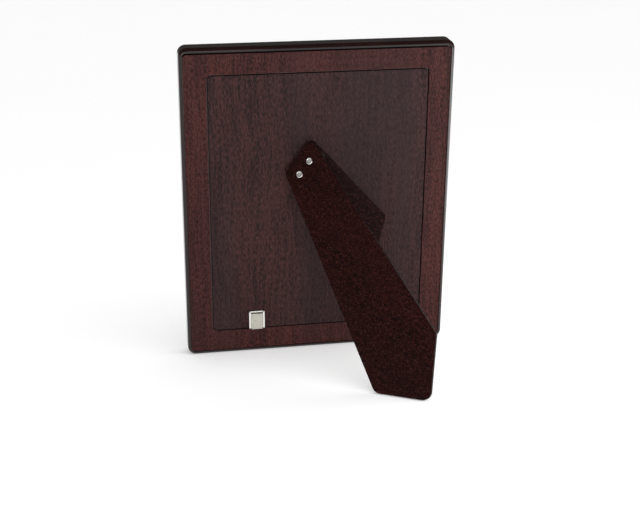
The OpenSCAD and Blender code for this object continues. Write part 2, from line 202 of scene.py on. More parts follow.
@dataclass(frozen=True)
class Pattern:
    """A cloudy pattern that runs through a piece.

    Attributes:
        grain: Grains per millimetre along each axis, or per metre on the floor.
        detail: Octaves of finer grain.
        roughness: Strength of the finer octaves.
        limits: Values that become 0 and 1, or None to leave them as they are.
    """

    grain: Point
    detail: float = 3.0
    roughness: float = 0.5
    limits: tuple[float, float] | None = None

    def scaled(self, across: float, along: float) -> "Pattern":
        """Makes the pattern finer or coarser.

        Args:
            across: Factor for the grains across the wood.
            along: Factor for the grains along the wood.

        Returns:
            The new pattern.
        """
        x, through, z = self.grain
        return replace(self, grain=(x * across, through, z * along))


class NodeMaker:
    """Makes the nodes of one material or world."""

    MIX_COLOURS = {"data_type": "RGBA"}
    # Sockets of the Mix node when it mixes colours.
    MIX_SHARE, MIX_FIRST, MIX_SECOND, MIX_RESULT = 0, 6, 7, 2

    def __init__(self, tree: bpy.types.NodeTree) -> None:
        """Clears a tree.

        Args:
            tree: The tree to fill.
        """
        self.tree = tree
        tree.nodes.clear()

    def node(
        self,
        kind: str,
        settings: Mapping[str, object] | None = None,
        inputs: Mapping[str | int, object] | None = None,
        output: str | int = 0,
    ) -> Value:
        """Adds one node.

        Args:
            kind: The node's type.
            settings: Its properties, set before its inputs.
            inputs: Values or links of its input sockets.
            output: The output to return.

        Returns:
            The wanted output.
        """
        made = self.tree.nodes.new(kind)
        for name, value in (settings or {}).items():
            setattr(made, name, value)
        for key, value in (inputs or {}).items():
            if isinstance(value, Value):
                self.tree.links.new(value.socket, made.inputs[key])
            else:
                made.inputs[key].default_value = value
        return Value(self, made.outputs[output]) if made.outputs else Value(self, None)

    def blend(self, share: Value | float, first: Value | Colour, second: Value | Colour) -> Value:
        """Mixes two colours.

        Args:
            share: How much of the second colour shows.
            first: The colour at 0.
            second: The colour at 1.

        Returns:
            The mixed colour.
        """
        ends = [c if isinstance(c, Value) else (*c, 1.0) for c in (first, second)]
        sockets = {self.MIX_SHARE: share, self.MIX_FIRST: ends[0], self.MIX_SECOND: ends[1]}
        return self.node("ShaderNodeMix", self.MIX_COLOURS, sockets, self.MIX_RESULT)

    def drawing(self, turn: Matrix) -> Value:
        """Gives each point's place in a drawing frame, in millimetres.

        Args:
            turn: Matrix from the drawing to the floor.

        Returns:
            The place as a vector.
        """
        where = self.node("ShaderNodeTexCoord", None, None, "Object")
        return self.node(
            "ShaderNodeMapping",
            {"vector_type": "TEXTURE"},
            {
                "Vector": where,
                "Location": turn.to_translation(),
                "Rotation": turn.to_euler(),
                "Scale": (Stance.MILLIMETRE,) * 3,
            },
        )

    def stretch(self, place: Value, factors: Point) -> Value:
        """Multiplies a vector by three factors.

        Args:
            place: The vector.
            factors: One factor for each axis.

        Returns:
            The stretched vector.
        """
        return self.node("ShaderNodeVectorMath", {"operation": "MULTIPLY"}, {0: place, 1: factors})

    def shift(self, place: Value, offset: Value) -> Value:
        """Adds one vector to another.

        Args:
            place: The vector.
            offset: What is added.

        Returns:
            The sum.
        """
        return self.node("ShaderNodeVectorMath", {"operation": "ADD"}, {0: place, 1: offset})

    def noise(self, place: Value, pattern: Pattern, output: str = "Fac") -> Value:
        """Adds a cloudy pattern.

        Args:
            place: Place on the piece.
            pattern: The pattern.
            output: The noise's output to use.

        Returns:
            The pattern's value, about 0.5 in the middle.
        """
        sockets = {
            "Vector": self.stretch(place, pattern.grain),
            "Scale": 1.0,
            "Detail": pattern.detail,
            "Roughness": pattern.roughness,
        }
        made = self.node("ShaderNodeTexNoise", None, sockets, output)
        return made.step(*pattern.limits) if pattern.limits else made

    def bump(self, height: Value, distance: float, strength: float = 1.0) -> Value:
        """Turns a height into a normal.

        Args:
            height: The height, about 0 to 1.
            distance: Height of 1, in metres.
            strength: Share of the bump that shows.

        Returns:
            The normal.
        """
        sockets = {"Height": height, "Distance": distance, "Strength": strength}
        return self.node("ShaderNodeBump", None, sockets)

    def surface(self, inputs: Mapping[str | int, object]) -> None:
        """Adds the surface shader and the output.

        Args:
            inputs: The surface shader's input sockets.
        """
        shader = self.node("ShaderNodeBsdfPrincipled", None, inputs)
        self.node("ShaderNodeOutputMaterial", None, {"Surface": shader})


# ---- finishes --------------------------------------------------------------------------------


class Finish(ABC):
    """A finish that can be put on pieces."""

    name: str

    def material(self) -> bpy.types.Material:
        """Gives the finish's material, made on first use.

        Returns:
            The material.
        """
        label = f"finish_{self.name}"
        made = bpy.data.materials.get(label)
        if made is None:
            made = bpy.data.materials.new(label)
            made.use_nodes = True
            self.paint(NodeMaker(made.node_tree))
        return made

    @abstractmethod
    def paint(self, maker: NodeMaker) -> None:
        """Adds the finish's nodes.

        Args:
            maker: Maker of the material's nodes.
        """


@dataclass(frozen=True)
class Lacquer(Finish):
    """Polished opaque lacquer with a faint orange peel and a little dust.

    Attributes:
        name: Name of the finish.
        colour: Colour of the lacquer.
        roughness: Roughness where it is clean.
        gloss: Reflection of the lacquer, as a specular level.
        peel: Height of the orange peel, in metres.
        turn: Matrix from the drawing to the floor.
    """

    name: str
    colour: Colour
    roughness: float
    gloss: float
    peel: float
    turn: Matrix

    PEEL = Pattern((0.22, 0.22, 0.22), 2.0)
    HANDLING = Pattern((0.03, 0.03, 0.02), 4.0, 0.6)
    DUST = Pattern((1.7, 1.7, 1.7), 1.0, limits=(0.70, 0.78))
    # How the colour of dust and handling marks follows from the lacquer's own.
    LIGHTER, LEAST = 2.2, 0.004

    def paint(self, maker: NodeMaker) -> None:
        """Adds the lacquer's nodes.

        Args:
            maker: Maker of the material's nodes.
        """
        place = maker.drawing(self.turn)
        peel = maker.noise(place, self.PEEL)
        handling = maker.noise(place, self.HANDLING)
        dust = maker.noise(place, self.DUST)
        lighter = tuple(c * self.LIGHTER + self.LEAST for c in self.colour)
        dulled = handling.step(0.45, 0.8) * 0.4 + dust * 0.25
        maker.surface(
            {
                "Base Color": maker.blend(dulled, self.colour, lighter),
                "Roughness": handling.step(0.35, 0.75) * 0.05 + dust * 0.15 + self.roughness,
                "Normal": maker.bump(peel, self.peel),
                "Specular IOR Level": self.gloss,
            }
        )


@dataclass(frozen=True)
class Veneer(Finish):
    """Stained wood veneer with streaks, pores and broad figure, the grain running along Z.

    Attributes:
        name: Name of the finish.
        dark: Colour of the dark streaks.
        light: Colour of the light streaks.
        cast: Colour of the light streaks in the redder bands.
        glow: Colour of the fine bright flecks.
        flecks: How strongly the flecks show.
        grain: Fine grains per millimetre across and along the wood.
        streak: Width of the main streaks, in millimetres.
        roughness: Roughness of the finish.
        gloss: Reflection of the finish, as a specular level.
        turn: Matrix from the drawing to the floor.
    """

    name: str
    dark: Colour
    light: Colour
    cast: Colour
    glow: Colour
    flecks: float
    grain: tuple[float, float]
    streak: float
    roughness: float
    gloss: float
    turn: Matrix

    # Sway of the grain, and how far it moves the grain, in millimetres.
    SWAY = Pattern((0.012, 0.0, 0.006), 1.0)
    SWAY_REACH = (26.0, 0.0, 0.0)
    # Broad figure and redder bands.
    FIGURE = Pattern((0.035, 0.0, 0.004), 2.0, limits=(0.35, 0.65))
    BAND = Pattern((0.022, 0.0, 0.0016), 1.0, limits=(0.38, 0.62))
    # Streaks, to be scaled by their width.
    STREAKS = Pattern((1.0, 0.2, 0.06), 2.0, limits=(0.36, 0.64))
    # Fine grain, pores and flecks, to be scaled by the veneer's grain.
    FINE = Pattern((1.0, 0.5, 1.0), 1.0, limits=(0.40, 0.60))
    PORES = Pattern((2.3, 0.5, 0.9), 1.0, limits=(0.55, 0.66))
    FLECKS = Pattern((1.1, 0.5, 1.3), 1.0, limits=(0.56, 0.68))
    # Shares of figure, streaks and fine grain in the tone.
    FIGURE_SHARE, STREAK_SHARE, FINE_SHARE = 0.2, 0.3, 0.5
    # Contrast of the tone outside the redder bands, and what they add to it.
    CONTRAST, BAND_CONTRAST = 0.75, 0.7
    # Colour of the pores against the dark streaks, and their depth in metres.
    PORE_SHADE, PORE_DEPTH = 0.4, 0.00003

    def paint(self, maker: NodeMaker) -> None:
        """Adds the veneer's nodes.

        Args:
            maker: Maker of the material's nodes.
        """
        flat = maker.drawing(self.turn)
        sway = maker.noise(flat, self.SWAY, "Color")
        place = maker.shift(flat, maker.stretch(sway, self.SWAY_REACH))
        wide = 1.0 / self.streak
        figure = maker.noise(place, self.FIGURE)
        band = maker.noise(place, self.BAND)
        streaks = maker.noise(place, self.STREAKS.scaled(wide, wide))
        fine, pores, flecks = (
            maker.noise(place, pattern.scaled(*self.grain))
            for pattern in (self.FINE, self.PORES, self.FLECKS)
        )
        tone = figure * self.FIGURE_SHARE + streaks * self.STREAK_SHARE + fine * self.FINE_SHARE
        tone = (tone - 0.5) * (band * self.BAND_CONTRAST + self.CONTRAST) + 0.5
        stained = maker.blend(tone, self.dark, maker.blend(band, self.light, self.cast))
        bright = maker.blend(flecks * self.flecks, stained, self.glow)
        deep = tuple(c * self.PORE_SHADE for c in self.dark)
        maker.surface(
            {
                "Base Color": maker.blend(pores * 0.6, bright, deep),
                "Roughness": pores * 0.12 + fine * 0.08 + self.roughness,
                "Normal": maker.bump(fine * 0.3 - pores, self.PORE_DEPTH, 0.6),
                "Specular IOR Level": self.gloss,
            }
        )


@dataclass(frozen=True)
class Stain(Finish):
    """Stain on the sawn edge of a board, thinned in patches by handling.

    On the rear plate's window arris its lighter colour is a painted highlight instead.

    Attributes:
        name: Name of the finish.
        colour: Colour of the stain.
        wear_and_highlight: Colour where handling has thinned it, and of the painted highlight on the window arris.
        roughness: Roughness of the edge.
        turn: Matrix from the drawing to the floor.
    """

    name: str
    colour: Colour
    wear_and_highlight: Colour
    roughness: float
    turn: Matrix

    FIBRES = Pattern((0.8, 2.0, 0.8), 3.0, 0.6)
    # Patches where handling thins the stain on sawn edges, and where the painted highlight shows on the window
    # arris.
    WEAR_AND_HIGHLIGHT = Pattern((0.05, 0.2, 0.05), 3.0, 0.6, (0.5, 0.8))
    # Depth of the fibres, in metres, and reflection as a specular level.
    FIBRE_DEPTH, GLOSS = 0.00005, 0.08

    def paint(self, maker: NodeMaker) -> None:
        """Adds the stain's nodes.

        Args:
            maker: Maker of the material's nodes.
        """
        place = maker.drawing(self.turn)
        fibres = maker.noise(place, self.FIBRES)
        wear_and_highlight_patches = maker.noise(place, self.WEAR_AND_HIGHLIGHT)
        maker.surface(
            {
                # The lighter colour is thinned stain on sawn edges and a painted highlight on the window arris.
                "Base Color": maker.blend(wear_and_highlight_patches * 0.5 + fibres * 0.2, self.colour, self.wear_and_highlight),
                "Roughness": fibres * 0.15 + self.roughness,
                "Normal": maker.bump(fibres, self.FIBRE_DEPTH, 0.6),
                "Specular IOR Level": self.GLOSS,
            }
        )


@dataclass(frozen=True)
class Metal(Finish):
    """Plated or bare metal with fine rolling marks.

    Attributes:
        name: Name of the finish.
        colour: Colour of the metal.
        tarnish: Colour where it has dulled.
        roughness: Roughness where it is bright.
        turn: Matrix from the drawing to the floor.
    """

    name: str
    colour: Colour
    tarnish: Colour
    roughness: float
    turn: Matrix

    ROLLED = Pattern((6.0, 6.0, 0.5), 2.0, 0.6)
    DULL = Pattern((0.35, 0.35, 0.35), 4.0, 0.6, (0.45, 0.75))
    # Depth of the rolling marks, in metres.
    MARK_DEPTH = 0.00001

    def paint(self, maker: NodeMaker) -> None:
        """Adds the metal's nodes.

        Args:
            maker: Maker of the material's nodes.
        """
        place = maker.drawing(self.turn)
        rolled = maker.noise(place, self.ROLLED)
        dull = maker.noise(place, self.DULL)
        maker.surface(
            {
                "Base Color": maker.blend(dull * 0.6, self.colour, self.tarnish),
                "Metallic": 1.0,
                "Roughness": rolled * 0.08 + dull * 0.12 + self.roughness,
                "Normal": maker.bump(rolled, self.MARK_DEPTH, 0.5),
            }
        )


@dataclass(frozen=True)
class Glass(Finish):
    """Clear picture glass with a few faint smears.

    Attributes:
        name: Name of the finish.
        tint: Colour of the glass.
        turn: Matrix from the drawing to the floor.
    """

    name: str
    tint: Colour
    turn: Matrix

    SMEARS = Pattern((0.02, 0.02, 0.035), 4.0, 0.55, (0.5, 0.8))
    # How much light bends in the glass.
    IOR = 1.5

    def paint(self, maker: NodeMaker) -> None:
        """Adds the glass's nodes.

        Args:
            maker: Maker of the material's nodes.
        """
        smears = maker.noise(maker.drawing(self.turn), self.SMEARS)
        maker.surface(
            {
                "Base Color": (*self.tint, 1.0),
                "Roughness": smears * 0.05 + 0.01,
                "IOR": self.IOR,
                "Transmission Weight": 1.0,
            }
        )


@dataclass(frozen=True)
class Paper(Finish):
    """A blank print: off-white paper with a fine keyline inside its edge.

    Attributes:
        name: Name of the finish.
        colour: Colour of the paper.
        line: Colour of the keyline.
        half_size: Half the width and half the height inside the keyline, in millimetres.
        middle: Height of the print's middle, in millimetres.
        turn: Matrix from the drawing to the floor.
    """

    name: str
    colour: Colour
    line: Colour
    half_size: tuple[float, float]
    middle: float
    turn: Matrix

    # Width of the keyline and of its soft edge, in millimetres.
    LINE_WIDTH, LINE_EDGE = 0.7, 0.1
    PULP = Pattern((0.9, 0.9, 0.9), 5.0, 0.65)
    SHADE = Pattern((0.01, 0.01, 0.014), 2.0)
    # Colour of the creamy clouds against the paper's own.
    CREAM = (0.96, 0.93, 0.87)
    # Depth of the pulp, in metres.
    PULP_DEPTH = 0.00003

    def paint(self, maker: NodeMaker) -> None:
        """Adds the paper's nodes.

        Args:
            maker: Maker of the material's nodes.
        """
        place = maker.drawing(self.turn)
        parts = [maker.node("ShaderNodeSeparateXYZ", None, {0: place}, axis) for axis in "XZ"]
        away = [
            maker.node("ShaderNodeMath", {"operation": "ABSOLUTE"}, {0: part - centre}) - half
            for part, centre, half in zip(parts, (0.0, self.middle), self.half_size)
        ]
        outside = away[0].most(away[1])
        beyond = outside.step(self.LINE_WIDTH, self.LINE_WIDTH + self.LINE_EDGE)
        keyline = outside.step(-self.LINE_EDGE, 0.0) * (1.0 - beyond)
        pulp = maker.noise(place, self.PULP)
        shade = maker.noise(place, self.SHADE)
        creamy = tuple(c * k for c, k in zip(self.colour, self.CREAM))
        paper = maker.blend(pulp * 0.3 + shade * 0.5, self.colour, creamy)
        maker.surface(
            {
                "Base Color": maker.blend(keyline * 0.8, paper, self.line),
                "Roughness": pulp * 0.2 + 0.6,
                "Normal": maker.bump(pulp, self.PULP_DEPTH, 0.5),
            }
        )


@dataclass(frozen=True)
class Board(Finish):
    """Grey-brown card with visible fibres.

    Attributes:
        name: Name of the finish.
        colour: Colour of the card.
        fibre: Colour of the fibres.
        turn: Matrix from the drawing to the floor.
    """

    name: str
    colour: Colour
    fibre: Colour
    turn: Matrix

    FIBRES = Pattern((0.5, 1.0, 1.6), 5.0, 0.7)
    # Depth of the fibres, in metres.
    FIBRE_DEPTH = 0.00005

    def paint(self, maker: NodeMaker) -> None:
        """Adds the card's nodes.

        Args:
            maker: Maker of the material's nodes.
        """
        place = maker.drawing(self.turn)
        fibres = maker.noise(place, self.FIBRES)
        maker.surface(
            {
                "Base Color": maker.blend(fibres.step(0.4, 0.7), self.colour, self.fibre),
                "Roughness": fibres * 0.1 + 0.8,
                "Normal": maker.bump(fibres, self.FIBRE_DEPTH, 0.6),
            }
        )


@dataclass(frozen=True)
class Floor(Finish):
    """Matt pale studio floor.

    Attributes:
        name: Name of the finish.
        colour: Colour of the floor.
        glow: Light that the floor gives of itself.
    """

    name: str
    colour: Colour
    glow: float

    CLOUDS = Pattern((1.5, 1.5, 1.5))
    # Colour of the clouds against the floor's own, and the floor's specular level.
    CLOUD_SHADE, GLOSS = 0.97, 0.2

    def paint(self, maker: NodeMaker) -> None:
        """Adds the floor's nodes.

        Args:
            maker: Maker of the material's nodes.
        """
        place = maker.node("ShaderNodeTexCoord", None, None, "Object")
        cloudy = maker.noise(place, self.CLOUDS)
        shaded = tuple(c * self.CLOUD_SHADE for c in self.colour)
        maker.surface(
            {
                "Base Color": maker.blend(cloudy * 0.3, self.colour, shaded),
                "Roughness": cloudy * 0.1 + 0.6,
                "Specular IOR Level": self.GLOSS,
                "Emission Color": (1.0, 1.0, 1.0, 1.0),
                "Emission Strength": self.glow,
            }
        )


@dataclass(frozen=True)
class Palette:
    """Every finish on the frame."""

    lacquer: Lacquer
    plate: Veneer
    panel: Veneer
    leg: Veneer
    base: Veneer
    edge: Stain
    rubbed: Stain
    leg_edge: Stain
    nickel: Metal
    satin_nickel: Metal
    hinge_steel: Metal
    browned_steel: Metal
    steel: Metal
    spring: Metal
    glass: Glass
    paper: Paper
    card: Board

    @classmethod
    def for_stance(cls, stance: Stance) -> "Palette":
        """Mixes the finishes for a frame.

        Args:
            stance: How the frame stands, so that grain follows each board.

        Returns:
            The palette.
        """
        upright, leg, folded = stance.upright(), stance.hinge(True), stance.hinge(False)
        browned = (0.030, 0.026, 0.023), (0.018, 0.015, 0.013), 0.45
        return cls(
            lacquer=Lacquer(
                name="dark_lacquer",
                colour=(0.011, 0.0035, 0.003),
                roughness=0.09,
                gloss=0.38,
                peel=0.00001,
                turn=upright,
            ),
            plate=Veneer(
                name="mahogany_veneer",
                dark=(0.016, 0.004, 0.0035),
                light=(0.060, 0.019, 0.0175),
                cast=(0.066, 0.0175, 0.015),
                glow=(0.13, 0.045, 0.035),
                flecks=0.25,
                grain=(0.75, 0.28),
                streak=3.2,
                roughness=0.42,
                gloss=0.12,
                turn=upright,
            ),
            panel=Veneer(
                name="brown_veneer",
                dark=(0.010, 0.0035, 0.0035),
                light=(0.039, 0.0185, 0.0185),
                cast=(0.052, 0.017, 0.016),
                glow=(0.095, 0.040, 0.040),
                flecks=0.25,
                grain=(0.75, 0.22),
                streak=3.0,
                roughness=0.45,
                gloss=0.14,
                turn=upright,
            ),
            leg=Veneer(
                name="leg_board_veneer",
                dark=(0.004, 0.0008, 0.0006),
                light=(0.022, 0.004, 0.003),
                cast=(0.026, 0.004, 0.0025),
                glow=(0.080, 0.024, 0.021),
                flecks=0.45,
                grain=(1.1, 0.65),
                streak=2.0,
                roughness=0.45,
                gloss=0.06,
                turn=leg,
            ),
            # Painted shade: the leg's veneer made darker for the leg's shadow on the base plate.
            base=Veneer(
                name="painted_shade_base_veneer",
                dark=(0.002, 0.0006, 0.0006),
                light=(0.014, 0.003, 0.003),
                cast=(0.016, 0.003, 0.002),
                glow=(0.080, 0.026, 0.022),
                flecks=0.45,
                grain=(1.0, 0.45),
                streak=2.0,
                roughness=0.45,
                gloss=0.06,
                turn=folded,
            ),
            edge=Stain("board_edge", (0.007, 0.002, 0.002), (0.014, 0.005, 0.0045), 0.6, upright),
            # Painted highlight: the light line that the rear plate's window arris catches on one side and the top.
            rubbed=Stain("rubbed_arris", (0.030, 0.015, 0.014), (0.32, 0.24, 0.22), 0.5, upright),
            leg_edge=Stain("leg_edge", (0.008, 0.004, 0.003), (0.020, 0.011, 0.009), 0.5, leg),
            nickel=Metal("nickel_plate", (0.92, 0.90, 0.86), (0.74, 0.72, 0.68), 0.16, upright),
            satin_nickel=Metal(
                "satin_nickel", (0.56, 0.54, 0.475), (0.43, 0.41, 0.365), 0.34, upright
            ),
            hinge_steel=Metal("dark_hinge_steel", *browned, leg),
            browned_steel=Metal("browned_steel", *browned, upright),
            steel=Metal("bright_steel", (0.78, 0.77, 0.75), (0.5, 0.49, 0.47), 0.25, upright),
            spring=Metal("spring_steel", (0.45, 0.45, 0.46), (0.25, 0.25, 0.26), 0.2, upright),
            glass=Glass("clear_glass", (0.97, 0.99, 0.98), upright),
            paper=Paper(
                name="blank_print",
                colour=(0.80, 0.79, 0.76),
                line=(0.25, 0.24, 0.22),
                half_size=(80.0, 105.0),
                middle=154.0,
                turn=upright,
            ),
            card=Board("filler_card", (0.36, 0.29, 0.21), (0.24, 0.18, 0.12), upright),
        )


# ---- mesh work -------------------------------------------------------------------------------


class Blank:
    """A mesh in the making, in one drawing frame."""

    # Distance under which vertices are one, in millimetres.
    WELD = 0.002
    # Angles up to which faces are one flat face, and up to which they shade as one.
    FLAT_LIMIT = math.radians(0.3)
    SMOOTH_LIMIT = math.radians(33)

    def __init__(self, drawing: Matrix) -> None:
        """Starts with nothing.

        Args:
            drawing: Matrix from the drawing to the floor.
        """
        self.drawing = drawing
        self.bm: BMesh = bmesh.new()

    @classmethod
    def from_node(cls, node: str, drawing: Matrix) -> "Blank":
        """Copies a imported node, merged into clean flat faces.

        Args:
            node: Name of the node.
            drawing: Matrix from the drawing to the floor.

        Returns:
            The copy, in the drawing frame.
        """
        blank = cls(drawing)
        blank.bm.from_mesh(frame["nodes"][node].data)
        bmesh.ops.transform(blank.bm, matrix=drawing.inverted(), verts=blank.bm.verts)
        bmesh.ops.remove_doubles(blank.bm, verts=blank.bm.verts, dist=cls.WELD)
        bmesh.ops.dissolve_limit(
            blank.bm, angle_limit=cls.FLAT_LIMIT, verts=blank.bm.verts, edges=blank.bm.edges
        )
        blank.bm.normal_update()
        return blank

    def block(self, low: Point, high: Point) -> list[BMVert]:
        """Adds a box.

        Args:
            low: Lowest corner.
            high: Highest corner.

        Returns:
            Its vertices.
        """
        verts = bmesh.ops.create_cube(self.bm, size=1.0)["verts"]
        size = Vector(high) - Vector(low)
        bmesh.ops.scale(self.bm, vec=size, verts=verts)
        bmesh.ops.translate(self.bm, vec=Vector(low) + size / 2, verts=verts)
        return verts

    def rectangle(self, half_w: float, half_h: float, middle: float, y: float) -> list[BMEdge]:
        """Adds a rectangular loop of edges that faces the back.

        Args:
            half_w: Half its width.
            half_h: Half its height.
            middle: Height of its middle.
            y: Its depth.

        Returns:
            Its edges.
        """
        made = bmesh.ops.create_circle(
            self.bm, cap_ends=False, segments=4, radius=math.sqrt(2)
        )["verts"]
        for angle, axis in ((45, "Z"), (90, "X")):
            turn = Matrix.Rotation(math.radians(angle), 3, axis)
            bmesh.ops.rotate(self.bm, matrix=turn, verts=made)
        bmesh.ops.scale(self.bm, vec=(half_w, 1.0, half_h), verts=made)
        bmesh.ops.translate(self.bm, vec=(0.0, y, middle), verts=made)
        return list({edge for vert in made for edge in vert.link_edges})

    def sweep(
        self,
        edges: Sequence[BMEdge],
        move: Point,
        grow: Point = (1, 1, 1),
        middle: float = 0.0,
    ) -> list[BMEdge]:
        """Draws a loop of edges out into walls.

        Args:
            edges: The loop.
            move: How far the new loop moves.
            grow: How much it grows about the middle.
            middle: Height of the middle that it grows about.

        Returns:
            The new loop.
        """
        made = bmesh.ops.extrude_edge_only(self.bm, edges=edges)["geom"]
        verts = [item for item in made if isinstance(item, BMVert)]
        about = Matrix.Translation((0, 0, -middle))
        bmesh.ops.scale(self.bm, vec=grow, space=about, verts=verts)
        bmesh.ops.translate(self.bm, vec=move, verts=verts)
        moved = set(verts)
        return [item for item in made if isinstance(item, BMEdge) and set(item.verts) <= moved]

    def fill_ring(self, outer: Sequence[BMEdge], inner: Sequence[BMEdge]) -> None:
        """Closes the flat ring between two loops.

        Args:
            outer: The outer loop.
            inner: The inner loop.
        """
        edges = [*outer, *inner]
        bmesh.ops.triangle_fill(self.bm, use_beauty=True, use_dissolve=False, edges=edges)

    def open_face(self, chosen: FaceTest) -> list[BMEdge]:
        """Takes one face out and leaves its edges.

        Args:
            chosen: Test for the face.

        Returns:
            The edges round the hole.
        """
        face = next(f for f in self.bm.faces if chosen(f))
        edges = list(face.edges)
        bmesh.ops.delete(self.bm, geom=[face], context="FACES_ONLY")
        return edges

    def turned(
        self, profile: Sequence[tuple[float, float]], centre: Point, steps: int = 56
    ) -> None:
        """Adds a shape turned about a line along Y.

        Args:
            profile: Radius and depth of each point, from one pole to the other.
            centre: A point of the line, from which depths count.
            steps: Steps round the line.
        """
        x, back, z = centre
        verts = [self.bm.verts.new((x + r, back + y, z)) for r, y in profile]
        edges = [self.bm.edges.new(pair) for pair in zip(verts, verts[1:])]
        before = set(self.bm.faces)
        bmesh.ops.spin(
            self.bm,
            geom=[*verts, *edges],
            cent=centre,
            axis=(0, 1, 0),
            angle=math.tau,
            steps=steps,
            use_merge=True,
        )
        made = [f for f in self.bm.faces if f not in before]
        corners = list({v for f in made for v in f.verts})
        bmesh.ops.remove_doubles(self.bm, verts=corners, dist=self.WELD)
        made = [f for f in self.bm.faces if f not in before]
        bmesh.ops.recalc_face_normals(self.bm, faces=made)

    def soften(self, width: float, segments: int, chosen: EdgeTest) -> None:
        """Rounds edges.

        Args:
            width: Distance from the edge at which the rounding starts.
            segments: Segments of the rounding.
            chosen: Test for the edges.
        """
        bmesh.ops.bevel(
            self.bm,
            geom=[edge for edge in self.bm.edges if chosen(edge)],
            offset=width,
            offset_type="OFFSET",
            segments=segments,
            profile=0.5,
            affect="EDGES",
            clamp_overlap=True,
            material=-1,
        )

    def coat(self, index: int, chosen: FaceTest) -> None:
        """Gives faces one of the piece's finishes.

        Args:
            index: The finish's place in the piece's list.
            chosen: Test for the faces.
        """
        self.bm.normal_update()
        for face in self.bm.faces:
            if chosen(face):
                face.material_index = index

    def finish(
        self,
        name: str,
        body: str,
        finishes: Sequence[Finish],
        slot: str,
        stands_for: Sequence[str],
    ) -> None:
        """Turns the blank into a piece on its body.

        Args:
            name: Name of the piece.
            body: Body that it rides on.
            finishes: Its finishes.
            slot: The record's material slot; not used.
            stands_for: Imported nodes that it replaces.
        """
        bmesh.ops.transform(self.bm, matrix=self.drawing, verts=self.bm.verts)
        for face in self.bm.faces:
            face.smooth = True
        mesh = bpy.data.meshes.new(name)
        self.bm.to_mesh(mesh)
        self.bm.free()
        mesh.set_sharp_from_angle(angle=self.SMOOTH_LIMIT)
        for one in finishes:
            mesh.materials.append(one.material())
        piece = bpy.data.objects.new(name, mesh)
        bpy.context.scene.collection.objects.link(piece)
        even = piece.modifiers.new("even_shading", "WEIGHTED_NORMAL")
        even.keep_sharp = True
        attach(piece, body)
        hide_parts(*stands_for)
        LOG.info("%s rides on %s for %s", name, body, ", ".join(stands_for))


def is_folded(edge: BMEdge, degrees: float) -> bool:
    """Returns whether two faces meet along an edge at more than an angle."""
    return edge.is_manifold and edge.calc_face_angle(0.0) > math.radians(degrees)


def is_sharp(edge: BMEdge) -> bool:
    """Returns whether two faces meet at a clear angle along an edge."""
    return is_folded(edge, 40)


def runs_along(edge: BMEdge, axis: str) -> bool:
    """Returns whether an edge runs along an axis, to within about 25 degrees."""
    direction = (edge.verts[0].co - edge.verts[1].co).normalized()
    return abs(getattr(direction, axis)) > 0.9


def is_broad(face: BMFace, way: int) -> bool:
    """Returns whether a face is a broad flat one to the back, for a way of 1, or to the front."""
    return face.normal.y * way > 0.99 and len(face.verts) > 8


def is_edge_face(face: BMFace) -> bool:
    """Returns whether a face of a board belongs to its thickness."""
    return abs(face.normal.y) < 0.9


def dress(node: str, finish: Finish) -> None:
    """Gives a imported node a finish.

    Args:
        node: Name of the node.
        finish: The finish.
    """
    for material_slot in frame["nodes"][node].material_slots:
        material_slot.material = finish.material()
    LOG.info("%s keeps its shape", node)


# ---- sub-assemblies --------------------------------------------------------------------------


